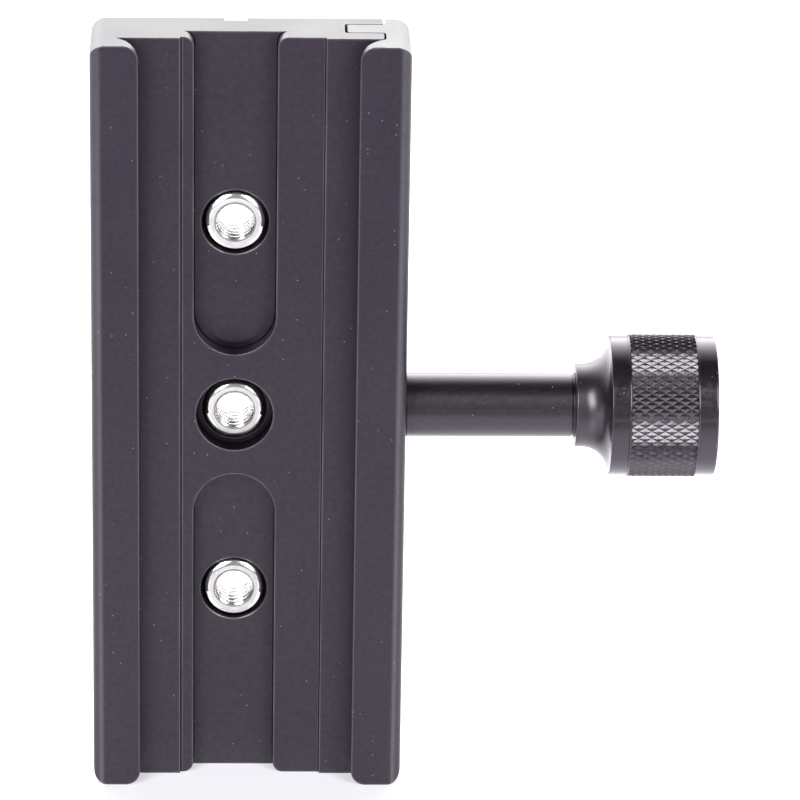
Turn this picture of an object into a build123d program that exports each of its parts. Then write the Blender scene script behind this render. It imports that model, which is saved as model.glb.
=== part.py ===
from build123d import *
import math
import os

os.makedirs("parts", exist_ok=True)

# The clamp stands on its lower end, with its jaws closed and its channel facing -Y.
# X runs across the channel towards the knob, Y towards the mounting face, Z along the channel.
# The origin is on the centre hole's axis, where the centre bushing ends at the back.
# A depth is measured from the front of the lips towards the mounting face.

# Plate
length = 117.0
thickness = 13.5
fixed_side = 21.0  # hole axis to the fixed jaw's outer side
sliding_side = 21.3  # hole axis to the side that the moving jaw closes on
corner_radius = 2.2  # seen from the front
lip_round = 1.75  # along the outer front edges
edge_break = 0.2
groove_width = 3.3
groove_depth = 1.2

# Channel for a dovetail plate
channel_depth = 4.0
lip_land = 0.7
flank_angle = 45.0
fixed_lip = 7.0
moving_lip = 7.45
recess_depth = 0.5
fixed_shelf = 9.3  # channel floor between the fixed flank and the recess
sliding_shelf = 8.3  # channel floor between the recess and the moving jaw

# Pockets for the heads of screws under the plate
pocket_width = 12.1
pocket_depth = 2.8
bridge_length = 19.0
mouth_radius = 1.5

# Threaded reducing bushings, three in a row
hole_pitch = 29.25
bushing_diameter = 9.525
bushing_length = 6.0
bushing_bore = 5.2
bushing_clearance = 0.04
bushing_front_chamfer = 0.76
bushing_back_chamfer = 0.4
bushing_mouth = 0.35
driver_slot_width = 1.2
driver_slot_depth = 1.0
hole_chamfer = 0.28
counterbore_diameter = 11.4

# Moving jaw
jaw_gap = 0.3
jaw_wall = 3.65
slot_length = 5.6
tongue_thickness = 4.0
tongue_end_gap = 0.25
slide_clearance = 0.08
slot_rounding = 0.5
inner_rounding = 0.4
lip_clearance = 0.35  # between the channel floor's level and the root of the moving flank

# Clamping screw, on an axis through the tongue's middle
screw_depth = 8.85
screw_diameter = 6.0
screw_engagement = 7.5
screw_tip_gap = 1.0
screw_chamfer = 0.6
thread_clearance = 0.06
screw_hole_clearance = 0.2
washer_thickness = 0.8
washer_side_gap = 0.15
running_gap = 0.05
stem_diameter = 9.5
stem_length = 25.2
stem_groove_width = 0.25
stem_groove_depth = 0.2
stem_flange = 0.25  # between the groove and the knob
spigot_diameter = 6.0
spigot_length = 14.0
spigot_clearance = 0.04

# Knob
neck_diameter = 12.4
neck_land = 1.05
neck_edge = 0.3
collar_diameter = 20.8
collar_edge = 0.2
collar_face = 0.05  # flat ring between the flare and the collar's edge
collar_length = 2.6
knurl_diameter = 21.2
knurl_length = 10.4
knurl_rim = 0.3  # plain ring at either end of the knurl
knurl_edge = 0.17
knurl_height = 0.26
knurl_flat = 0.2  # share of a diamond's width that is left flat
knurl_count = 58
knurl_rows = 10
end_band_length = 2.75
end_rounding = 0.3
screw_edge = 0.2

# Screw that holds the knob on its stem
knob_screw_diameter = 3.0
knob_screw_length = 10.0
knob_screw_head_diameter = 5.5
knob_screw_head_height = 3.0
knob_screw_sink = 0.4
knob_screw_clearance = 0.06
head_clearance = 0.15
hex_width = 2.5
hex_depth = 1.4

# Guide pins and the springs on them, one pair above and one below the screw
pin_end_distance = 18.5
pin_diameter = 2.5
pin_length = 16.0
pin_seat = 4.0
pin_chamfer = 0.3
pin_fit = 0.03
pin_running_clearance = 0.1
pin_bore_spare = 0.5
spring_diameter = 3.9
spring_wire = 0.45
spring_turns = 5
spring_bore_clearance = 0.25
spring_bore_depth = 5.0
spring_end_gap = 0.05

# Places that follow from the sizes above
recess_floor = channel_depth + recess_depth
pocket_floor = recess_floor + pocket_depth
slot_end = sliding_side - slot_length
jaw_inner = sliding_side + jaw_gap
jaw_outer = jaw_inner + jaw_wall
tongue_end = slot_end + tongue_end_gap
thread_radius = screw_diameter / 2
stem_start = jaw_outer + running_gap
neck_start = stem_start + stem_length
pin_start = slot_end - spring_bore_depth - pin_seat
pin_height = length / 2 - pin_end_distance
pin_places = (pin_height, -pin_height)


def y_at(depth):
    """Y of what lies this deep behind the lips' front."""
    return depth - thickness + groove_depth


def reach(rise):
    """How far a flank runs sideways while it goes this deep."""
    return rise / math.tan(math.radians(flank_angle))


def bar(corners):
    """A bar as long as the plate; a corner of its section is X, depth and rounding."""
    points = [(x, y_at(depth)) for x, depth, rounding in corners]
    section = FilletPolyline(*points, radius=[rounding for x, depth, rounding in corners], close=True)
    return extrude(make_face(section), amount=length / 2, both=True)


def facing_front(depth):
    """A plane across the depth that looks forward, with X to its right and Z up."""
    return Plane(origin=(0, y_at(depth), 0), x_dir=(1, 0, 0), z_dir=(0, -1, 0))


def round_ends(piece, left, right, sides):
    """Rounds the corners of a bar, seen from the front, on the sides whose X is given."""
    seen = Pos((left + right) / 2, 0) * Rectangle(right - left, length)
    corners = [spot for spot in seen.vertices() if any(abs(spot.X - side) < 0.001 for side in sides)]
    return piece & extrude(facing_front(thickness) * fillet(corners, corner_radius), amount=thickness)


def turned_on_hole(points, z=0.0):
    """A solid turned about a hole's axis; a point is radius and depth."""
    section = Polyline(*[(radius, y_at(depth)) for radius, depth in points], close=True)
    return Pos(0, 0, z) * revolve(make_face(section), Axis.Y)


def turned_on_screw(points, z=0.0):
    """A solid turned about the screw's axis, or one beside it; a point is X and radius."""
    section = Polyline(*points, close=True)
    return Pos(0, y_at(screw_depth), z) * revolve(make_face(section), Axis.X)


def drill(start, end, radius, z=0.0):
    """A round hole along X in the middle of the tongue's thickness."""
    return turned_on_screw([(start, 0), (start, radius), (end, radius), (end, 0)], z)


def pocket(side):
    """The cutter for one pocket, from its round end out through the plate's end."""
    radius = pocket_width / 2
    start = bridge_length / 2 + radius
    end = length / 2
    outside = 4 * mouth_radius
    seen = Pos(0, side * start) * Circle(radius)
    seen += Pos(0, side * (start + end) / 2) * Rectangle(pocket_width, end - start)
    seen += Pos(0, side * (end + outside / 2)) * Rectangle(pocket_width + outside, outside)
    mouth = [
        spot
        for spot in seen.vertices()
        if abs(abs(spot.X) - radius) < 0.001 and abs(abs(spot.Y) - end) < 0.001
    ]
    return extrude(facing_front(pocket_floor) * fillet(mouth, mouth_radius), amount=pocket_depth)


def bushing_hole(z, widening):
    """The cutter for one bushing's hole; widening is the radius and depth of its front."""
    radius = bushing_diameter / 2 + bushing_clearance
    return turned_on_hole([(0, 0), *widening, (radius, thickness), (0, thickness)], z)


def base_plate():
    """The fixed jaw with the channel floor, the pockets, the slot and all the bores."""
    nose = fixed_lip - fixed_side
    root = nose - reach(channel_depth - lip_land)
    lip = bar(
        [
            (-fixed_side, 0, lip_round),
            (nose, 0, edge_break),
            (nose, lip_land, edge_break),
            (root, channel_depth, 0),
            (-fixed_side, channel_depth, 0),
        ]
    )
    recess_left = root + fixed_shelf
    recess_right = sliding_side - sliding_shelf
    slot_front = screw_depth - tongue_thickness / 2 - slide_clearance
    slot_back = screw_depth + tongue_thickness / 2 + slide_clearance
    body = bar(
        [
            (-fixed_side, channel_depth, 0),
            (recess_left, channel_depth, 0),
            (recess_left, recess_floor, 0),
            (recess_right, recess_floor, 0),
            (recess_right, channel_depth, 0),
            (sliding_side, channel_depth, slot_rounding),
            (sliding_side, slot_front, slot_rounding),
            (slot_end, slot_front, slot_rounding),
            (slot_end, slot_back, slot_rounding),
            (sliding_side, slot_back, slot_rounding),
            (sliding_side, thickness, edge_break),
            (groove_width / 2, thickness, edge_break),
            (groove_width / 2, thickness - groove_depth, 0),
            (-groove_width / 2, thickness - groove_depth, 0),
            (-groove_width / 2, thickness, edge_break),
            (-fixed_side, thickness, edge_break),
        ]
    )
    plate = round_ends(lip, -fixed_side, nose, (-fixed_side, nose))
    plate += round_ends(body, -fixed_side, sliding_side, (-fixed_side,))
    plate -= pocket(1)
    plate -= pocket(-1)

    hole_radius = bushing_diameter / 2 + bushing_clearance
    flared = [
        (hole_radius + hole_chamfer, 0),
        (hole_radius + hole_chamfer, pocket_floor),
        (hole_radius, pocket_floor + hole_chamfer),
    ]
    stepped = [
        (counterbore_diameter / 2, 0),
        (counterbore_diameter / 2, pocket_floor),
        (hole_radius, pocket_floor),
    ]
    plate -= bushing_hole(hole_pitch, flared)
    plate -= bushing_hole(0, stepped)
    plate -= bushing_hole(-hole_pitch, flared)

    tapped_end = slot_end - screw_engagement - screw_tip_gap
    plate -= drill(tapped_end, slot_end, thread_radius + thread_clearance)
    plate -= drill(slot_end, sliding_side, thread_radius + screw_hole_clearance)
    for z in pin_places:
        spring_end = slot_end - spring_bore_depth
        plate -= drill(spring_end, slot_end, spring_diameter / 2 + spring_bore_clearance, z)
        plate -= drill(pin_start, spring_end, pin_diameter / 2 + pin_fit, z)
    return plate


def moving_jaw():
    """The second lip with its side wall and the tongue that slides in the slot."""
    nose = jaw_outer - moving_lip
    root_depth = channel_depth - lip_clearance
    root = nose + reach(root_depth - lip_land)
    lip = bar(
        [
            (jaw_outer, 0, lip_round),
            (nose, 0, edge_break),
            (nose, lip_land, edge_break),
            (root, root_depth, 0),
            (jaw_outer, root_depth, 0),
        ]
    )
    tongue_front = screw_depth - tongue_thickness / 2
    tongue_back = screw_depth + tongue_thickness / 2
    wall = bar(
        [
            (jaw_outer, root_depth, 0),
            (root, root_depth, 0),
            (jaw_inner, root_depth + inner_rounding, inner_rounding),
            (jaw_inner, tongue_front, inner_rounding),
            (tongue_end, tongue_front, slot_rounding),
            (tongue_end, tongue_back, slot_rounding),
            (jaw_inner, tongue_back, inner_rounding),
            (jaw_inner, thickness, edge_break),
            (jaw_outer, thickness, edge_break),
        ]
    )
    jaw = round_ends(lip, nose, jaw_outer, (nose, jaw_outer))
    jaw += round_ends(wall, tongue_end, jaw_outer, (jaw_outer,))
    jaw -= drill(tongue_end, jaw_outer, thread_radius + screw_hole_clearance)
    jaw -= drill(jaw_outer - washer_thickness, jaw_outer, stem_diameter / 2 + washer_side_gap)
    for z in pin_places:
        bore_end = pin_start + pin_length + pin_bore_spare
        jaw -= drill(tongue_end, bore_end, pin_diameter / 2 + pin_running_clearance, z)
    return jaw


def thrust_washer():
    """The ring under the stem's shoulder, sunk flush in the moving jaw."""
    start = jaw_outer - washer_thickness
    inner = thread_radius + screw_hole_clearance
    outer = stem_diameter / 2
    return turned_on_screw([(start, inner), (start, outer), (jaw_outer, outer), (jaw_outer, inner)])


def clamp_screw():
    """The stem, with the screw thread on one end and the knob's spigot on the other."""
    tip = slot_end - screw_engagement
    groove = stem_diameter / 2 - stem_groove_depth
    groove_end = neck_start - stem_flange
    groove_start = groove_end - stem_groove_width
    shank = turned_on_screw(
        [
            (tip, 0),
            (tip, thread_radius - screw_chamfer),
            (tip + screw_chamfer, thread_radius),
            (stem_start, thread_radius),
            (stem_start, stem_diameter / 2 - edge_break),
            (stem_start + edge_break, stem_diameter / 2),
            (groove_start, stem_diameter / 2),
            (groove_start, groove),
            (groove_end, groove),
            (groove_end, stem_diameter / 2),
            (neck_start, stem_diameter / 2),
            (neck_start, spigot_diameter / 2),
            (neck_start + spigot_length, spigot_diameter / 2),
            (neck_start + spigot_length, 0),
        ]
    )
    screw_tip = knob_seat() - knob_screw_length
    tapped = knob_screw_diameter / 2 + knob_screw_clearance
    return shank - drill(screw_tip - screw_tip_gap, neck_start + spigot_length, tapped)


def knurl_start():
    """X where the knurled band starts."""
    return neck_start + neck_land + flare_radius() + collar_length


def knob_end():
    """X of the knob's outer end face."""
    return knurl_start() + knurl_length + end_band_length


def knob_seat():
    """X of the seat under the knob screw's head."""
    return knob_end() - knob_screw_sink - knob_screw_head_height


def flare_radius():
    """Radius of the hollow that opens from the neck to the collar."""
    return (collar_diameter - neck_diameter) / 2 - collar_face - collar_edge


def turned_round(points):
    """A solid turned about the screw's axis; a point is X, radius and rounding."""
    corners = [(x, radius) for x, radius, rounding in points]
    section = FilletPolyline(*corners, radius=[rounding for x, radius, rounding in points], close=True)
    return Pos(0, y_at(screw_depth), 0) * revolve(make_face(section), Axis.X)


def knurled_band(start, end):
    """The band of diamonds with flat tops, each raised between four points of the grooves."""
    groove = knurl_diameter / 2 - knurl_height
    summit = groove + knurl_height / (1 - knurl_flat)
    step = math.pi / knurl_count
    y_axis = y_at(screw_depth)

    def point(turn, row, radius):
        angle = turn * step
        x = start + (end - start) * row / knurl_rows
        return Vector(x, y_axis + radius * math.cos(angle), radius * math.sin(angle))

    def top_corner(turn, row, near_turn, near_row):
        low = point(near_turn, near_row, groove)
        return low + (point(turn, row, summit) - low) * (1 - knurl_flat)

    faces = []
    for row in range(knurl_rows + 1):
        rim = []
        for turn in range(row % 2, 2 * knurl_count, 2):
            left = top_corner(turn, row, turn - 1, row)
            right = top_corner(turn, row, turn + 1, row)
            rim += [point(turn - 1, row, groove), left, right]
            for near_row in (row - 1, row + 1):
                if not 0 <= near_row <= knurl_rows:
                    continue
                far = point(turn, near_row, groove)
                top = top_corner(turn, row, turn, near_row)
                faces.append(Face(Wire.make_polygon([left, right, top])))
                faces.append(Face(Wire.make_polygon([point(turn - 1, row, groove), far, top, left])))
                faces.append(Face(Wire.make_polygon([point(turn + 1, row, groove), far, top, right])))
        if row in (0, knurl_rows):
            faces.append(Face(Wire.make_polygon(rim)))
    return Solid(Shell(faces))


def knob_head():
    """The turned knob with its flared neck, its knurled band and its bore for the spigot."""
    neck = neck_diameter / 2
    collar = collar_diameter / 2
    tip = knurl_diameter / 2
    flare_end = knurl_start() - collar_length
    knurl_end = knurl_start() + knurl_length
    band_start = knurl_start() + knurl_rim
    band_end = knurl_end - knurl_rim
    head = turned_round(
        [
            (band_start, 0, 0),
            (neck_start, 0, 0),
            (neck_start, neck, neck_edge),
            (flare_end, neck, flare_radius()),
            (flare_end, collar, collar_edge),
            (knurl_start(), collar, 0),
            (knurl_start(), tip, knurl_edge),
            (band_start, tip, 0),
        ]
    )
    head += knurled_band(band_start, band_end)
    head += turned_round(
        [
            (band_end, 0, 0),
            (band_end, tip, 0),
            (knurl_end, tip, knurl_edge),
            (knurl_end, collar, 0),
            (knob_end(), collar, end_rounding),
            (knob_end(), 0, 0),
        ]
    )
    spigot_end = neck_start + spigot_length
    head -= drill(neck_start, spigot_end, spigot_diameter / 2 + spigot_clearance)
    head -= drill(spigot_end, knob_seat(), knob_screw_diameter / 2 + knob_screw_clearance)
    head -= drill(knob_seat(), knob_end(), knob_screw_head_diameter / 2 + head_clearance)
    return head


def knob_screw():
    """A socket head screw along the knob's axis."""
    shank = knob_screw_diameter / 2
    head = knob_screw_head_diameter / 2
    head_end = knob_seat() + knob_screw_head_height
    tip = knob_seat() - knob_screw_length
    screw = turned_on_screw(
        [
            (tip, 0),
            (tip, shank - screw_edge),
            (tip + screw_edge, shank),
            (knob_seat(), shank),
            (knob_seat(), head),
            (head_end - screw_edge, head),
            (head_end, head - screw_edge),
            (head_end, 0),
        ]
    )
    socket_plane = Plane(origin=(head_end, y_at(screw_depth), 0), x_dir=(0, 1, 0), z_dir=(1, 0, 0))
    hexagon = RegularPolygon(hex_width / 2, 6, major_radius=False)
    return screw - extrude(socket_plane * hexagon, amount=-hex_depth)


def guide_pin(z):
    """A dowel that is pressed in the base plate and guides the moving jaw."""
    radius = pin_diameter / 2
    end = pin_start + pin_length
    return turned_on_screw(
        [
            (pin_start, 0),
            (pin_start, radius - pin_chamfer),
            (pin_start + pin_chamfer, radius),
            (end - pin_chamfer, radius),
            (end, radius - pin_chamfer),
            (end, 0),
        ],
        z,
    )


def opening_spring(z):
    """The coil spring on a guide pin that pushes the tongue out of the slot."""
    start = slot_end - spring_bore_depth + spring_end_gap + spring_wire / 2
    end = tongue_end - spring_end_gap - spring_wire / 2
    radius = (spring_diameter - spring_wire) / 2
    path = Helix((end - start) / spring_turns, end - start, radius)
    wire = Plane(origin=path @ 0, z_dir=path % 0) * Circle(spring_wire / 2)
    coil = sweep(wire, path=path, is_frenet=True)
    return Pos(start, y_at(screw_depth), z) * Rot(0, 90, 0) * coil


def bushing(z, front):
    """A reducer with a coarse outer thread and a camera thread inside."""
    outer = bushing_diameter / 2
    bore = bushing_bore / 2
    back = front + bushing_length
    sleeve = turned_on_hole(
        [
            (bore + bushing_mouth, front),
            (outer - bushing_front_chamfer, front),
            (outer, front + bushing_front_chamfer),
            (outer, back - bushing_back_chamfer),
            (outer - bushing_back_chamfer, back),
            (bore, back),
            (bore, front + bushing_mouth),
        ],
        z,
    )
    slot = Box(2 * bushing_diameter, 2 * driver_slot_depth, driver_slot_width)
    return sleeve - Pos(0, y_at(back), z) * slot


pieces = {
    "base_plate": base_plate(),
    "moving_jaw": moving_jaw(),
    "thrust_washer": thrust_washer(),
    "clamp_screw": clamp_screw(),
    "knob_head": knob_head(),
    "knob_screw": knob_screw(),
    "guide_pin_upper": guide_pin(pin_height),
    "guide_pin_lower": guide_pin(-pin_height),
    "spring_upper": opening_spring(pin_height),
    "spring_lower": opening_spring(-pin_height),
    "bushing_upper": bushing(hole_pitch, pocket_floor),
    "bushing_centre": bushing(0, thickness - groove_depth - bushing_length),
    "bushing_lower": bushing(-hole_pitch, pocket_floor),
}

for name, piece in pieces.items():
    export_step(piece, f"parts/{name}.step")
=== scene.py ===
import math

import bmesh
import bpy
from mathutils import Matrix, Vector


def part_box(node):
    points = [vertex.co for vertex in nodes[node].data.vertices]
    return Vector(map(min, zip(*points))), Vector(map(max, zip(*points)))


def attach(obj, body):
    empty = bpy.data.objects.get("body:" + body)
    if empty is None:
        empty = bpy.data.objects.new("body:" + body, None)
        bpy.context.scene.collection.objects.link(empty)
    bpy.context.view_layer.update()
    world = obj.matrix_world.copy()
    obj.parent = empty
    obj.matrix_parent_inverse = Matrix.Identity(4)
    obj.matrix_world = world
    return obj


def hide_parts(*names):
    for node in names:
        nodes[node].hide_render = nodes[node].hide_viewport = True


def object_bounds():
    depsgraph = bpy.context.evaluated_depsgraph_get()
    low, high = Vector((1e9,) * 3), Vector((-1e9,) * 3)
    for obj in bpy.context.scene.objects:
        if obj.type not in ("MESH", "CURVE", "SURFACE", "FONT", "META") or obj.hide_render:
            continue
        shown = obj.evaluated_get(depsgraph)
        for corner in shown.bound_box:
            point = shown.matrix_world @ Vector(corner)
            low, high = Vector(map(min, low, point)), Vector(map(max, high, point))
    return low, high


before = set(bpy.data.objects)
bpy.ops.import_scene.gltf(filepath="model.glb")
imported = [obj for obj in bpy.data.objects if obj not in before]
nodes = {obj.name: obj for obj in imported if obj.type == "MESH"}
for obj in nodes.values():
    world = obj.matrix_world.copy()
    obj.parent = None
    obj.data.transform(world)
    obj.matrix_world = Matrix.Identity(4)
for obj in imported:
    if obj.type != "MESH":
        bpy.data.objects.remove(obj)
cad_low, cad_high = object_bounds()

# The clamp stands on its lower end and faces -Y, with its knob towards +X and its length along Z.
MM = 0.001
FLOOR_Z = cad_low.z

# The axis of the clamping screw
screw_low, screw_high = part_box("clamp_screw")
SCREW_Y = (screw_low.y + screw_high.y) / 2
SCREW_Z = (screw_low.z + screw_high.z) / 2

# The bushings, each with the Y of the floor that its hole starts from
BUSHINGS = {"bushing_upper": -5.0 * MM, "bushing_centre": -7.8 * MM, "bushing_lower": -5.0 * MM}

# Camera thread in the bushings and the coarse thread around them
BORE_RADIUS = 2.6 * MM
BORE_PITCH = 1.27 * MM
BORE_THREAD_DEPTH = 0.575 * MM
BORE_LEAD_IN = 0.3  # share of a turn in which the camera thread grows to its depth
SLEEVE_PITCH = 1.5875 * MM
SLEEVE_THREAD_DEPTH = 0.85 * MM
SLEEVE_BACK_CHAMFER = 0.4 * MM
SLEEVE_MOUTH = 0.35 * MM
SLEEVE_FACE = 3.55 * MM
SLEEVE_CONE = 4.2 * MM
SLEEVE_CONE_DEPTH = 0.24 * MM
SLEEVE_STEPS = 120
DRIVER_SLOT_WIDTH = 1.2 * MM
DRIVER_SLOT_DEPTH = 1.0 * MM

# Clamping screw
SCREW_RADIUS = 3.0 * MM
SCREW_PITCH = 1.0 * MM
SCREW_THREAD_DEPTH = 0.6 * MM
SCREW_CHAMFER = 0.6 * MM
SCREW_STEPS = 96
STEM_RADIUS = (screw_high.z - screw_low.z) / 2
STEM_LENGTH = 25.2 * MM
STEM_EDGE = 0.2 * MM
STEM_GROOVE_WIDTH = 0.25 * MM
STEM_GROOVE_DEPTH = 0.2 * MM
STEM_FLANGE = 0.25 * MM
SPIGOT_RADIUS = 3.0 * MM
SPIGOT_LENGTH = 14.0 * MM
KNOB_SCREW_HOLE = 1.56 * MM
KNOB_SCREW_GAP = 1.0 * MM

# Threads: points of an outline in each turn, how steep the groove's sides are and how wide its crest
POINTS_PER_TURN = 10
THREAD_SLOPE = 1.35
THREAD_CREST = 0.2
EDGE_ANGLE = 35  # in degrees: two faces that meet at more than this have a sharp edge
WELD = 0.0001 * MM

# Shading near sharp corners reaches this far
CORNER_REACH = 0.3 * MM
CORNER_SAMPLES = 8
BEVEL_SAMPLES = 6

# Anodised plate and jaw: colours, rounding of the edges and blasted grain
ANODISED = (0.009, 0.002, 0.014, 1)
ANODISED_LIGHTER = (0.011, 0.0025, 0.017, 1)
ANODISED_DUST = (0.2, 0.19, 0.22, 1)
ANODISED_FINE_DUST = (0.045, 0.042, 0.05, 1)
# Outer edges: lighter from wear, and also a painted highlight along them
ANODISED_WORN_AND_HIGHLIT = (0.13, 0.125, 0.14, 1)
# Painted shade: in inner corners, in the bushings' holes, along the upper pocket's round end and along
# the jaw's seam
ANODISED_UNLIT = (0.002, 0.001, 0.002, 1)
ANODISED_ROUGHNESS = 0.42
ANODISED_EDGE = 0.15 * MM
ANODISED_GRAIN = 0.16 * MM
ANODISED_GRAIN_HEIGHT = 0.02 * MM

# Anodised gloss, as IOR: on flat faces, on corners seen from the front, on sawn ends and unlit
FACE_IOR = 1.69
CORNER_IOR = 2.5
PLATE_END_IOR = 2.06
JAW_END_IOR = 2.42
UNLIT_IOR = 1.05
MOTTLED_IOR = 0.035  # more or less of it, in fine patches
ROUNDING_IOR = 0.36  # more of it on the roundings along the length
ROUNDING_TOP = 0.055  # along Z: where these are at their dullest and where at their brightest
ROUNDING_LOW = 0.015
ROUNDING_TOP_SHARE = 0.35

# Painted highlight: light lines on the channel's floor beside the recess's edges, where those edges
# catch the light
HIGHLIGHT_LINE_PLACES = (-7.67 * MM, 12.78 * MM)
HIGHLIGHT_LINE_WIDTH = 0.14 * MM
HIGHLIGHT_LINE_FRONT = -7.6 * MM

# The bushings' holes, where little light gets in
HOLE_RADIUS = 6.3 * MM
HOLE_EDGE = 0.12 * MM
HOLE_FLOOR_DARKNESS = 0.42
HOLE_WALL_DARKNESS = 0.85

# Painted shade along the round end of the upper pocket, standing in for the shade in the hollow that the
# cutter left there
POCKET_END = 15.55 * MM  # Z of the end's centre
POCKET_RADIUS = 6.05 * MM
POCKET_SPARE = 0.01 * MM
HOLLOW_WIDTH = 1.1 * MM
HOLLOW_FULL = 0.7  # share of that width in which it is at its darkest
HOLLOW_DARKNESS = 0.45
HOLLOW_STARTS = 4.2 * MM  # to the left and right of the middle, where it fades in
HOLLOW_MIDDLE = 2.2 * MM

# The jaw's tongue ends on its right here, and its outline shows on the jaw's sawn ends as painted shade
# along its seam with the plate
TONGUE_RIGHT = 21.4 * MM

# Turned black stem and knob
TURNED = (0.008, 0.006, 0.010, 1)
TURNED_LIGHTER = (0.012, 0.009, 0.015, 1)
TURNED_DUST = (0.26, 0.25, 0.27, 1)
# Painted shade in inner corners and between the knurl's teeth
TURNED_UNLIT = (0.002, 0.0015, 0.002, 1)
TURNED_REFLECTIONS = (1.0, 0.9, 1.0, 1)
TURNED_IOR = 1.92
TURNED_UNLIT_IOR = 1.4
TURNED_RING_HEIGHT = 0.01 * MM
NECK_LENGTH = 4.5 * MM
NECK_ROUGHNESS = 0.31
NECK_FADE = 1.0 * MM

# Bare metal
BRIGHT = (0.93, 0.91, 0.91)
GROUND = (0.6, 0.6, 0.61)
DRAWN = (0.55, 0.55, 0.56)
DULLED = 0.86  # share of the colour that is left in the darker patches
MARK_HEIGHT = 0.006 * MM
METAL_EDGE = 0.06 * MM
FACE_ROUGHNESS = 0.5
FACE_DEPTH = 0.02 * MM  # where the bushings' dull face starts to fade, and where it has faded
FACE_FADED = 0.06 * MM
# The dark line round the bore's mouth is painted shade at the mouth's edge
MOUTH_LINE = 3.0 * MM  # radius of the dark line round the bore's mouth
MOUTH_LINE_WIDTH = 0.11 * MM
MOUTH_LINE_DEPTH = 0.1 * MM
MOUTH_SHADE_COLOUR = (0.12, 0.11, 0.11, 1)

# The floor, and the shaded part of it in front, where the photographer stands
FLOOR_HALF = 3.0
FLOOR_ROUGHNESS = 0.2
FLOOR_PALE = (0.78, 0.765, 0.84, 1)
FLOOR_PALER = (0.8, 0.785, 0.86, 1)
FLOOR_SHADED = (0.02, 0.02, 0.02, 1)
SHADE_PLACE = (0, -0.42, -0.0585)
SHADE_RADIUS = 0.48

# The floor's glow: as the camera sees it, and where its mirror image starts and is full,
# along Y behind the clamp and along X on both of its sides
GLOW_SEEN = 0.4
GLOW_START = -0.3
GLOW_NEAR = -0.12
GLOW_LOW = 0.2
GLOW_FRONT = -0.02
GLOW_BACK = 0.04
GLOW_BESIDE = 0.1
GLOW_FAR_BESIDE = 0.3

# The room's light: radiance of its ceiling, its walls and the bright field low behind the clamp
ROOM_CEILING = 0.03
ROOM_WALLS = 0.3
BACK_LEVEL = 5.2
BACK_AT_HORIZON = 0.9
BACK_BESIDE = 4.2  # at the horizon, to the left and right of the clamp
BACK_BESIDE_STARTS = 0.12  # sine of the angle to the side
BACK_BESIDE_FULL = 0.36
BACK_FULL_RISE = math.radians(22)
BACK_FALLOFF = 2.2
BACK_RISE = math.radians(10)
BACK_SPREAD = 0.26  # cosine of the angle at which the bright field has faded out

# The two softboxes
LAMP_SIZE = (0.34, 0.5)
LAMP_STRENGTH = 7.5

# The camera, as fitted to the photograph
CAMERA_PLACE = Vector((-1.32, -726.16, 292.94)) * MM
CAMERA_DOWN = math.radians(22.005)
CAMERA_TURN = math.radians(-2.052)
CAMERA_ROLL = math.radians(0.982)
CAMERA_LENS = 236.3
CAMERA_SENSOR = 36
CAMERA_NEAR = 0.01


# Shader nodes


def add_node(tree, kind, inputs=None, **settings):
    """Adds a shader node; an input is a value or the output that it is linked to."""
    node = tree.nodes.new(kind)
    for name, value in settings.items():
        setattr(node, name, value)
    for name, value in (inputs or {}).items():
        socket = node.inputs[name]
        if isinstance(value, bpy.types.NodeSocket):
            tree.links.new(value, socket)
        else:
            socket.default_value = value
    return node


def calculate(tree, operation, *values):
    """The result of a calculation with numbers or outputs."""
    return add_node(tree, "ShaderNodeMath", dict(enumerate(values)), operation=operation).outputs[0]


def product(tree, *values):
    """All of these values multiplied."""
    result = values[0]
    for value in values[1:]:
        result = calculate(tree, "MULTIPLY", result, value)
    return result


def ramp(tree, value, start, end, low=0.0, high=1.0, **settings):
    """Runs from low to high while a value goes from start to end."""
    inputs = {"Value": value, "From Min": start, "From Max": end, "To Min": low, "To Max": high}
    return add_node(tree, "ShaderNodeMapRange", inputs, **settings).outputs["Result"]


def axes_of(tree, vector):
    """The outputs X, Y and Z of a vector."""
    return add_node(tree, "ShaderNodeSeparateXYZ", {"Vector": vector}).outputs


def object_place(tree):
    """The place on the object, in its own axes."""
    return add_node(tree, "ShaderNodeTexCoord").outputs["Object"]


def facing(tree):
    """The outputs X, Y and Z of the direction in which a face looks."""
    return axes_of(tree, add_node(tree, "ShaderNodeNewGeometry").outputs["True Normal"])


def flattened(tree, vector, kept):
    """A vector with only those of its axes that are kept."""
    node = add_node(tree, "ShaderNodeVectorMath", {0: vector, 1: kept}, operation="MULTIPLY")
    return node.outputs["Vector"]


def distance(tree, first, second):
    """How far two places lie apart."""
    node = add_node(tree, "ShaderNodeVectorMath", {0: first, 1: second}, operation="DISTANCE")
    return node.outputs["Value"]


def stretched(tree, factors):
    """Places on the object, drawn out by these factors along X, Y and Z."""
    inputs = {"Vector": object_place(tree), "Scale": factors}
    return add_node(tree, "ShaderNodeMapping", inputs).outputs["Vector"]


def patches(tree, factors, low=0.0, high=1.0, detail=2.0):
    """Soft grey patches between two values, the smaller the larger their factors are."""
    inputs = {"Vector": stretched(tree, factors), "Scale": 1.0, "Detail": detail}
    noise = add_node(tree, "ShaderNodeTexNoise", inputs)
    return ramp(tree, noise.outputs["Fac"], 0.3, 0.7, low, high)


def specks(tree, spacing, radius, share):
    """A mask of small dust specks: one in each cell this wide, and only in a share of the cells."""
    vector = stretched(tree, (1 / spacing,) * 3)
    cells = add_node(tree, "ShaderNodeTexVoronoi", {"Vector": vector, "Scale": 1.0})
    near = calculate(tree, "LESS_THAN", cells.outputs["Distance"], radius / spacing)
    chance = add_node(tree, "ShaderNodeSeparateColor", {"Color": cells.outputs["Color"]})
    chosen = calculate(tree, "LESS_THAN", chance.outputs[0], share)
    return product(tree, near, chosen)


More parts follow.
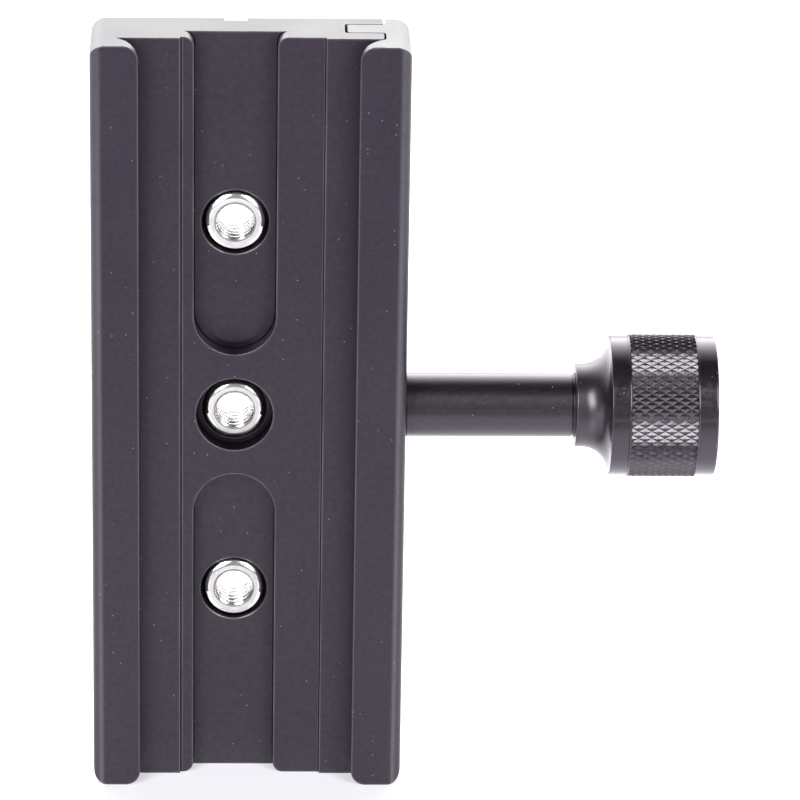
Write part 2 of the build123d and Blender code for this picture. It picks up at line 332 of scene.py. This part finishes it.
def mixed(tree, factor, first, second):
    """Two colours mixed by a factor."""
    return add_node(tree, "ShaderNodeMix", {0: factor, 6: first, 7: second}, data_type="RGBA").outputs[2]


def rounded_normal(tree, radius):
    """The normal of edges that are broken by this radius."""
    node = add_node(tree, "ShaderNodeBevel", {"Radius": radius}, samples=BEVEL_SAMPLES)
    return node.outputs["Normal"]


def bumped(tree, height, strength, depth, normal):
    """The normal of a surface with this relief."""
    inputs = {"Height": height, "Strength": strength, "Distance": depth, "Normal": normal}
    return add_node(tree, "ShaderNodeBump", inputs).outputs["Normal"]


def near_corner(tree, outer, start, full):
    """How near an outer or an inner sharp corner is, from 0 to 1."""
    node = add_node(
        tree,
        "ShaderNodeAmbientOcclusion",
        {"Distance": CORNER_REACH},
        inside=outer,
        only_local=True,
        samples=CORNER_SAMPLES,
    )
    return ramp(tree, node.outputs["AO"], start, full)


def new_material(name):
    """A material and its node tree, with nothing but the surface and its output in it."""
    material = bpy.data.materials.new(name)
    material.use_nodes = True
    tree = material.node_tree
    tree.nodes.clear()
    surface = tree.nodes.new("ShaderNodeBsdfPrincipled")
    output = tree.nodes.new("ShaderNodeOutputMaterial")
    tree.links.new(surface.outputs["BSDF"], output.inputs["Surface"])
    return material, tree, surface


def connect(tree, surface, **outputs):
    """Links outputs to the surface's inputs; an input's spaces are written as underscores."""
    for name, output in outputs.items():
        tree.links.new(output, surface.inputs[name.replace("_", " ")])


# Places on the clamp


def not_on_the_back(tree):
    """1 on all faces that don't look backwards, 0 on those that do."""
    return calculate(tree, "LESS_THAN", facing(tree)["Y"], 0.5)


def painted_hole_shade(tree):
    """Painted shade on the floor and the walls of the bushings' holes, 0 elsewhere."""
    place = object_place(tree)
    depth = axes_of(tree, place)["Y"]
    flat = flattened(tree, place, (1, 0, 1))
    holes = 0.0
    for name, front in BUSHINGS.items():
        low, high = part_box(name)
        away = distance(tree, flat, ((low.x + high.x) / 2, 0, (low.z + high.z) / 2))
        inside = calculate(tree, "LESS_THAN", away, HOLE_RADIUS)
        behind = calculate(tree, "GREATER_THAN", depth, front + HOLE_EDGE)
        holes = calculate(tree, "MAXIMUM", holes, product(tree, inside, behind))
    # A floor looks along Y at -1, a wall above -0.75.
    darkness = ramp(tree, facing(tree)["Y"], -1.0, -0.75, HOLE_FLOOR_DARKNESS, HOLE_WALL_DARKNESS)
    return product(tree, holes, not_on_the_back(tree), darkness)


def painted_pocket_end_shade(tree):
    """Painted shade along the round end of the upper pocket, 0 elsewhere."""
    place = object_place(tree)
    axes = axes_of(tree, place)
    away = distance(tree, flattened(tree, place, (1, 0, 1)), (0, 0, POCKET_END))
    start = POCKET_RADIUS - HOLLOW_WIDTH
    full = POCKET_RADIUS - HOLLOW_FULL * HOLLOW_WIDTH
    ring = ramp(tree, away, start, full, 0.0, HOLLOW_DARKNESS)
    sideways = calculate(tree, "ABSOLUTE", axes["X"])
    darkness = ramp(tree, sideways, HOLLOW_STARTS, HOLLOW_MIDDLE, 0.0, ring)
    front = BUSHINGS["bushing_centre"] + HOLE_EDGE
    inside = calculate(tree, "LESS_THAN", away, POCKET_RADIUS + POCKET_SPARE)
    below = calculate(tree, "LESS_THAN", axes["Z"], POCKET_END)
    deep = calculate(tree, "GREATER_THAN", axes["Y"], front)
    return product(tree, inside, below, deep, not_on_the_back(tree), darkness)


def painted_edge_highlights(tree):
    """The painted highlight lines beside the recess's edges, from 0 to 1."""
    axes = axes_of(tree, object_place(tree))
    ways = [calculate(tree, "SUBTRACT", axes["X"], place) for place in HIGHLIGHT_LINE_PLACES]
    first, second = [calculate(tree, "ABSOLUTE", way) for way in ways]
    near = ramp(tree, calculate(tree, "MINIMUM", first, second), HIGHLIGHT_LINE_WIDTH, 0.0)
    front = calculate(tree, "LESS_THAN", axes["Y"], HIGHLIGHT_LINE_FRONT)
    return product(tree, near, front)


def painted_tongue_seam_shade(tree):
    """Painted shade along the seam of the jaw's tongue on the jaw's sawn ends, from 0 to 1."""
    upright = calculate(tree, "ABSOLUTE", facing(tree)["Z"])
    ends = calculate(tree, "GREATER_THAN", upright, 0.95)
    along = axes_of(tree, object_place(tree))["X"]
    tongue = calculate(tree, "LESS_THAN", along, TONGUE_RIGHT)
    return product(tree, ends, tongue, near_corner(tree, outer=True, start=0.94, full=0.74))


def painted_mouth_shade(tree):
    """The fine line of painted shade on a bushing's face, round the mouth of its bore, from 0 to 1."""
    place = object_place(tree)
    across = flattened(tree, place, (0, 1, 1))
    radius = add_node(tree, "ShaderNodeVectorMath", {0: across}, operation="LENGTH").outputs["Value"]
    away = calculate(tree, "ABSOLUTE", calculate(tree, "SUBTRACT", radius, MOUTH_LINE))
    near = ramp(tree, away, MOUTH_LINE_WIDTH, 0.0)
    front = calculate(tree, "LESS_THAN", axes_of(tree, place)["X"], MOUTH_LINE_DEPTH)
    return product(tree, near, front)


# Materials


def anodised_gloss(tree, end_ior, unlit):
    """The IOR of the anodised pieces: glossier corners, ends and roundings, and dull unlit places."""
    # Upright and sideways are 0 for a face that looks across Z or X, 1 for one that looks along it.
    facings = facing(tree)
    upright = calculate(tree, "ABSOLUTE", facings["Z"])
    corners = ramp(tree, upright, 0.2, 0.6, FACE_IOR, CORNER_IOR)
    ends = ramp(tree, upright, 0.85, 0.99, corners, end_ior)
    mottled = patches(tree, (1300, 1300, 1300), -MOTTLED_IOR, MOTTLED_IOR)
    gloss = calculate(tree, "ADD", ends, mottled)
    sideways = calculate(tree, "ABSOLUTE", facings["X"])
    rounding = ramp(tree, sideways, 0.02, 0.25, 0.0, ROUNDING_IOR)
    rounding = ramp(tree, sideways, 0.38, 0.75, rounding, 0.0)
    height = axes_of(tree, object_place(tree))["Z"]
    share = ramp(tree, height, ROUNDING_TOP, ROUNDING_LOW, ROUNDING_TOP_SHARE, 1.0)
    gloss = calculate(tree, "MULTIPLY_ADD", rounding, share, gloss)
    return ramp(tree, unlit, 0.0, 1.0, gloss, UNLIT_IOR)


def black_anodised(name, end_ior, is_jaw):
    """Black oxide on aluminium: a blasted grain, faint patches, dust, edges lighter from wear and from a
    painted highlight, painted shade in inner corners, holes, the pocket's end and the jaw's seam, and
    glossier ends.
    """
    material, tree, surface = new_material(name)
    # Outer edges lighter: partly wear, partly a painted highlight
    worn_and_highlit = near_corner(tree, outer=True, start=0.97, full=0.55)
    if is_jaw:
        painted_recess_shade = painted_tongue_seam_shade(tree)
    else:
        # Painted highlight lines beside the recess's edges, on the plate only
        worn_and_highlit = calculate(tree, "MAXIMUM", worn_and_highlit, painted_edge_highlights(tree))
        painted_recess_shade = calculate(tree, "MAXIMUM", painted_hole_shade(tree), painted_pocket_end_shade(tree))
    scuffs = patches(tree, (700, 700, 90), 0.35, 1.0)
    # Painted shade in inner corners, and in recesses: holes, the pocket's end and the jaw's seam
    corner = near_corner(tree, outer=False, start=0.93, full=0.6)
    unlit = calculate(tree, "MAXIMUM", corner, painted_recess_shade)

    colour = mixed(tree, patches(tree, (220, 220, 120)), ANODISED, ANODISED_LIGHTER)
    dust = specks(tree, spacing=1.0 * MM, radius=0.1 * MM, share=0.16)
    colour = mixed(tree, dust, colour, ANODISED_DUST)
    fine_dust = specks(tree, spacing=0.62 * MM, radius=0.07 * MM, share=0.25)
    colour = mixed(tree, fine_dust, colour, ANODISED_FINE_DUST)
    colour = mixed(tree, product(tree, worn_and_highlit, scuffs), colour, ANODISED_WORN_AND_HIGHLIT)
    colour = mixed(tree, unlit, colour, ANODISED_UNLIT)

    grains = patches(tree, (1 / ANODISED_GRAIN,) * 3, detail=3.0)
    normal = bumped(tree, grains, 0.35, ANODISED_GRAIN_HEIGHT, rounded_normal(tree, ANODISED_EDGE))
    rough = patches(tree, (60, 60, 60), ANODISED_ROUGHNESS - 0.03, ANODISED_ROUGHNESS + 0.03)
    gloss = anodised_gloss(tree, end_ior, unlit)
    connect(tree, surface, Base_Color=colour, Normal=normal, Roughness=rough, IOR=gloss)
    return material


def turned_black(name, roughness, spread, edge, satin_end=None):
    """Turned and blackened metal with fine rings round X, specks and painted shade in inner corners, and
    satin up to a place along X.
    """
    material, tree, surface = new_material(name)
    # Painted shade in inner corners and between the knurl's teeth, in the colour and a lower IOR
    unlit = near_corner(tree, outer=False, start=0.85, full=0.45)
    colour = mixed(tree, patches(tree, (120, 1400, 1400)), TURNED, TURNED_LIGHTER)
    dust = specks(tree, spacing=1.0 * MM, radius=0.09 * MM, share=0.2)
    colour = mixed(tree, dust, colour, TURNED_DUST)
    colour = mixed(tree, unlit, colour, TURNED_UNLIT)

    rings = patches(tree, (6500, 60, 60), detail=4.0)
    normal = bumped(tree, rings, 0.25, TURNED_RING_HEIGHT, rounded_normal(tree, edge))
    rough = patches(tree, (1200, 1800, 1800), roughness - spread, roughness + spread)
    if satin_end:
        along = axes_of(tree, object_place(tree))["X"]
        rough = ramp(tree, along, satin_end, satin_end + NECK_FADE, NECK_ROUGHNESS, rough)
    gloss = ramp(tree, unlit, 0.0, 1.0, TURNED_IOR, TURNED_UNLIT_IOR)
    connect(tree, surface, Base_Color=colour, Normal=normal, Roughness=rough, IOR=gloss)
    surface.inputs["Specular Tint"].default_value = TURNED_REFLECTIONS
    return material


def bare_metal(name, colour, roughness, ring_scale, is_bushing=False):
    """Bright metal with fine tool marks along its own X axis, and a duller face and a line of painted
    shade round the bore's mouth on a bushing.
    """
    material, tree, surface = new_material(name)
    darker = [share * DULLED for share in colour]
    base = mixed(tree, patches(tree, (700, 700, 700)), (*colour, 1), (*darker, 1))
    rough = patches(tree, (500, 500, 500), roughness - 0.03, roughness + 0.05)
    if is_bushing:
        # Painted shade: a dark line round the bore's mouth
        base = mixed(tree, painted_mouth_shade(tree), base, MOUTH_SHADE_COLOUR)
        along = axes_of(tree, object_place(tree))["X"]
        rough = ramp(tree, along, FACE_DEPTH, FACE_FADED, FACE_ROUGHNESS, rough)
    marks = patches(tree, (ring_scale, 200, 200), detail=3.0)
    normal = bumped(tree, marks, 0.2, MARK_HEIGHT, rounded_normal(tree, METAL_EDGE))
    connect(tree, surface, Base_Color=base, Normal=normal, Roughness=rough)
    surface.inputs["Metallic"].default_value = 1.0
    return material


def floor_glow(tree):
    """The floor's own light: all over for the camera, and in mirror images behind and beside."""
    path = add_node(tree, "ShaderNodeLightPath").outputs
    axes = axes_of(tree, object_place(tree))
    before = ramp(tree, axes["Y"], GLOW_START, GLOW_NEAR, 0.0, GLOW_LOW)
    behind = ramp(tree, axes["Y"], GLOW_FRONT, GLOW_BACK, before, 1.0)
    beside = ramp(tree, calculate(tree, "ABSOLUTE", axes["X"]), GLOW_BESIDE, GLOW_FAR_BESIDE)
    around = calculate(tree, "MAXIMUM", behind, beside)
    mirrored = product(tree, path["Is Glossy Ray"], around)
    return calculate(tree, "MULTIPLY_ADD", path["Is Camera Ray"], GLOW_SEEN, mirrored)


def floor_material():
    """A white floor that shows as the photograph's white and keeps the clamp's shadow."""
    material, tree, surface = new_material("floor_white")
    pale = mixed(tree, patches(tree, (8, 8, 8)), FLOOR_PALE, FLOOR_PALER)
    away = distance(tree, object_place(tree), SHADE_PLACE)
    shaded = ramp(tree, away, SHADE_RADIUS, 0.0, interpolation_type="SMOOTHSTEP")
    colour = mixed(tree, shaded, pale, FLOOR_SHADED)
    connect(tree, surface, Base_Color=colour, Emission_Strength=floor_glow(tree))
    surface.inputs["Roughness"].default_value = FLOOR_ROUGHNESS
    surface.inputs["Specular IOR Level"].default_value = 1.0
    surface.inputs["Emission Color"].default_value = (1, 1, 1, 1)
    material.cycles.emission_sampling = "NONE"
    return material


def give_material(material, *names):
    """Gives CAD nodes their material."""
    for name in names:
        data = nodes[name].data
        data.materials.clear()
        data.materials.append(material)


# Turned and threaded pieces


def smooth_by_angle(mesh, degrees):
    """Smooth faces, with sharp edges where two faces meet at more than this angle."""
    work = bmesh.new()
    work.from_mesh(mesh)
    for face in work.faces:
        face.smooth = True
    for edge in work.edges:
        edge.smooth = len(edge.link_faces) == 2 and edge.calc_face_angle(0) < math.radians(degrees)
    work.to_mesh(mesh)
    work.free()


def turned_piece(name, outline, steps, cut):
    """A mesh turned about its X axis. The outline holds X and radius; cut changes the radius."""
    mesh = bpy.data.meshes.new(name)
    work = bmesh.new()
    rows = []
    for step in range(steps):
        angle = 2 * math.pi * step / steps
        row = []
        for along, radius in outline:
            here = cut(along, radius, angle)
            row.append(work.verts.new((along, here * math.cos(angle), here * math.sin(angle))))
        rows.append(row)
    count = len(outline)
    for step in range(steps):
        row, following = rows[step], rows[(step + 1) % steps]
        for k in range(count):
            after = (k + 1) % count
            if outline[k][1] == 0 and outline[after][1] == 0:
                continue
            work.faces.new((row[k], row[after], following[after], following[k]))
    bmesh.ops.remove_doubles(work, verts=work.verts, dist=WELD)
    bmesh.ops.recalc_face_normals(work, faces=work.faces)
    work.to_mesh(mesh)
    work.free()
    piece = bpy.data.objects.new(name, mesh)
    bpy.context.scene.collection.objects.link(piece)
    return piece


def thread_share(along, angle, pitch):
    """How deep in its groove a right-hand thread is here, from 0 at the crest to 1."""
    phase = (along / pitch - angle / (2 * math.pi)) % 1
    return min(1.0, max(0.0, (1 - abs(2 * phase - 1)) * THREAD_SLOPE - THREAD_CREST))


def spaced(start, end, step):
    """Values from start to end, about this far apart."""
    count = max(1, round(abs(end - start) / step))
    return [start + (end - start) * k / count for k in range(count + 1)]


def put(piece, matrix, material, body, replaced):
    """Places a piece, gives it its material and hands it to its CAD body in place of a CAD node."""
    piece.matrix_world = matrix
    piece.data.materials.clear()
    piece.data.materials.append(material)
    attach(piece, body)
    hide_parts(replaced)


def cut_box(piece, size, place):
    """Takes a box out of a piece, both in the piece's own axes."""
    mesh = bpy.data.meshes.new("cutter")
    work = bmesh.new()
    bmesh.ops.create_cube(work, size=1.0, matrix=Matrix.Translation(place) @ Matrix.Diagonal((*size, 1)))
    work.to_mesh(mesh)
    work.free()
    cutter = bpy.data.objects.new("cutter", mesh)
    bpy.context.scene.collection.objects.link(cutter)
    modifier = piece.modifiers.new("slot", "BOOLEAN")
    modifier.operation = "DIFFERENCE"
    modifier.object = cutter
    bpy.context.view_layer.update()
    graph = bpy.context.evaluated_depsgraph_get()
    result = bpy.data.meshes.new_from_object(piece.evaluated_get(graph))
    piece.modifiers.clear()
    piece.data = result
    bpy.data.objects.remove(cutter)


def make_bushing(name, metal):
    """A reducing bushing with both of its threads and the driver slot in its back."""
    low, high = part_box(name)
    length = high.y - low.y
    outer = (high.x - low.x) / 2
    front = [(0, BORE_RADIUS + SLEEVE_MOUTH), (0, SLEEVE_FACE)]
    outside = [
        (x, min(outer, SLEEVE_CONE - SLEEVE_CONE_DEPTH + x, outer - SLEEVE_BACK_CHAMFER + length - x))
        for x in spaced(SLEEVE_CONE_DEPTH, length, SLEEVE_PITCH / POINTS_PER_TURN)
    ]
    inside = [
        (x, BORE_RADIUS + max(0, SLEEVE_MOUTH - x))
        for x in spaced(length, 0, BORE_PITCH / POINTS_PER_TURN)
    ]

    def threaded(along, radius, angle):
        if along < SLEEVE_CONE_DEPTH * 1.01 and radius > SLEEVE_FACE * 0.99:
            return radius
        if radius > (outer + BORE_RADIUS) / 2:
            depth = SLEEVE_THREAD_DEPTH * thread_share(along, angle, SLEEVE_PITCH)
            return min(radius, outer - depth)
        depth = BORE_THREAD_DEPTH * thread_share(along, angle, BORE_PITCH)
        lead_in = min(1.0, along / (BORE_LEAD_IN * BORE_PITCH))
        return max(radius, BORE_RADIUS + depth * lead_in)

    outline = [*front, *outside, *inside[:-1]]
    sleeve = turned_piece(name + "_threaded", outline, SLEEVE_STEPS, threaded)
    slot_size = (2 * DRIVER_SLOT_DEPTH, 4 * outer, DRIVER_SLOT_WIDTH)
    cut_box(sleeve, slot_size, Vector((length, 0, 0)))
    smooth_by_angle(sleeve.data, EDGE_ANGLE)
    centre = (low + high) / 2
    standing = Matrix.Translation((centre.x, low.y, centre.z)) @ Matrix.Rotation(math.pi / 2, 4, "Z")
    put(sleeve, standing, metal, "plate", name)


def make_clamp_screw(black):
    """The stem with its screw thread, its shoulder and the spigot inside the knob."""
    start, end = screw_low.x, screw_high.x
    neck = end - SPIGOT_LENGTH
    shoulder = neck - STEM_LENGTH
    threaded_part = [
        (x, min(SCREW_RADIUS, SCREW_RADIUS - SCREW_CHAMFER + x - start))
        for x in spaced(start, shoulder, SCREW_PITCH / POINTS_PER_TURN)
    ]
    groove_end = neck - STEM_FLANGE
    groove_start = groove_end - STEM_GROOVE_WIDTH
    groove = STEM_RADIUS - STEM_GROOVE_DEPTH
    hole_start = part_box("knob_screw")[0].x - KNOB_SCREW_GAP
    outline = [
        (start, 0),
        *threaded_part,
        (shoulder, STEM_RADIUS - STEM_EDGE),
        (shoulder + STEM_EDGE, STEM_RADIUS),
        (groove_start, STEM_RADIUS),
        (groove_start, groove),
        (groove_end, groove),
        (groove_end, STEM_RADIUS),
        (neck, STEM_RADIUS),
        (neck, SPIGOT_RADIUS),
        (end, SPIGOT_RADIUS),
        (end, KNOB_SCREW_HOLE),
        (hole_start, KNOB_SCREW_HOLE),
        (hole_start, 0),
    ]

    def threaded(along, radius, angle):
        if radius == 0 or along > shoulder - WELD:
            return radius
        run_out = min(1.0, (shoulder - along) / SCREW_PITCH)
        depth = SCREW_THREAD_DEPTH * thread_share(along, angle, SCREW_PITCH) * run_out
        return min(radius, SCREW_RADIUS - depth)

    screw = turned_piece("clamp_screw_threaded", outline, SCREW_STEPS, threaded)
    smooth_by_angle(screw.data, EDGE_ANGLE)
    put(screw, Matrix.Translation((0, SCREW_Y, SCREW_Z)), black, "knob", "clamp_screw")


# Camera, floor and light


def make_camera():
    """The camera at the photograph's place and angle."""
    data = bpy.data.cameras.new("camera")
    data.lens = CAMERA_LENS
    data.sensor_width = CAMERA_SENSOR
    data.clip_start = CAMERA_NEAR
    camera = bpy.data.objects.new("camera", data)
    turn = Matrix.Rotation(CAMERA_TURN, 4, "Z")
    tilt = Matrix.Rotation(math.pi / 2 - CAMERA_DOWN, 4, "X")
    roll = Matrix.Rotation(CAMERA_ROLL, 4, "Z")
    camera.matrix_world = Matrix.Translation(CAMERA_PLACE) @ turn @ tilt @ roll
    bpy.context.scene.collection.objects.link(camera)
    bpy.context.scene.camera = camera


def make_floor():
    """The plain pale floor that the clamp stands on."""
    mesh = bpy.data.meshes.new("floor")
    signs = ((-1, -1), (1, -1), (1, 1), (-1, 1))
    corners = [(across * FLOOR_HALF, along * FLOOR_HALF, FLOOR_Z) for across, along in signs]
    mesh.from_pydata(corners, [], [(0, 1, 2, 3)])
    mesh.materials.append(floor_material())
    floor = bpy.data.objects.new("floor", mesh)
    bpy.context.scene.collection.objects.link(floor)


def back_light(tree, towards, rise):
    """The bright field low behind the clamp: weaker at the horizon right behind it."""
    middle = (0, math.cos(BACK_RISE), math.sin(BACK_RISE))
    towards_middle = add_node(
        tree, "ShaderNodeVectorMath", {0: towards, 1: middle}, operation="DOT_PRODUCT"
    )
    share = ramp(tree, towards_middle.outputs["Value"], BACK_SPREAD, 1.0)
    falloff = calculate(tree, "POWER", share, BACK_FALLOFF)
    aside = calculate(tree, "ABSOLUTE", axes_of(tree, towards)["X"])
    horizon = ramp(tree, aside, BACK_BESIDE_STARTS, BACK_BESIDE_FULL, BACK_AT_HORIZON, BACK_BESIDE)
    full_rise = math.sin(BACK_FULL_RISE)
    level = ramp(tree, rise, 0.0, full_rise, horizon, BACK_LEVEL, interpolation_type="SMOOTHSTEP")
    return falloff, level


def make_room():
    """A room that is dark overhead, dim all round and bright low behind the clamp."""
    world = bpy.data.worlds.new("room")
    world.use_nodes = True
    tree = world.node_tree
    towards = add_node(tree, "ShaderNodeTexCoord").outputs["Generated"]
    rise = axes_of(tree, towards)["Z"]
    walls = ramp(tree, product(tree, rise, rise), 0.0, 1.0, ROOM_WALLS, ROOM_CEILING)
    falloff, level = back_light(tree, towards, rise)
    radiance = calculate(tree, "MULTIPLY_ADD", falloff, level, walls)
    tree.links.new(radiance, tree.nodes["Background"].inputs["Color"])
    bpy.context.scene.world = world


def softbox(name, turn, rise, away):
    """An area lamp that looks at the clamp from this azimuth and elevation, in degrees."""
    lamp = bpy.data.lights.new(name, "AREA")
    lamp.shape = "RECTANGLE"
    lamp.size, lamp.size_y = LAMP_SIZE
    lamp.energy = LAMP_STRENGTH * math.pi * LAMP_SIZE[0] * LAMP_SIZE[1]
    turn, rise = math.radians(turn), math.radians(rise)
    direction = Vector(
        (math.sin(turn) * math.cos(rise), -math.cos(turn) * math.cos(rise), math.sin(rise))
    )
    holder = bpy.data.objects.new(name, lamp)
    holder.location = direction * away
    holder.rotation_mode = "QUATERNION"
    holder.rotation_quaternion = (-direction).to_track_quat("-Z", "Y")
    bpy.context.scene.collection.objects.link(holder)


bpy.context.scene.view_settings.view_transform = "Standard"
make_camera()
make_floor()
make_room()
softbox("softbox_left", turn=-32, rise=32, away=0.75)
softbox("softbox_right", turn=38, rise=30, away=0.8)

plate_black = black_anodised("plate_black", PLATE_END_IOR, is_jaw=False)
jaw_black = black_anodised("jaw_black", JAW_END_IOR, is_jaw=True)
stem_black = turned_black("stem_black", roughness=0.26, spread=0.025, edge=0.12 * MM)
neck_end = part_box("knob_head")[0].x + NECK_LENGTH
knob_black = turned_black("knob_black", roughness=0.2, spread=0.06, edge=0.07 * MM, satin_end=neck_end)
bright_metal = bare_metal("bright_metal", BRIGHT, roughness=0.18, ring_scale=4000, is_bushing=True)
ground_steel = bare_metal("ground_steel", GROUND, roughness=0.3, ring_scale=5000)
spring_steel = bare_metal("spring_steel", DRAWN, roughness=0.28, ring_scale=3000)

give_material(plate_black, "base_plate")
give_material(jaw_black, "moving_jaw")
give_material(knob_black, "knob_head")
give_material(stem_black, "knob_screw")
give_material(ground_steel, "thrust_washer", "guide_pin_upper", "guide_pin_lower")
give_material(spring_steel, "spring_upper", "spring_lower")
for bushing_name in BUSHINGS:
    make_bushing(bushing_name, bright_metal)
make_clamp_screw(stem_black)
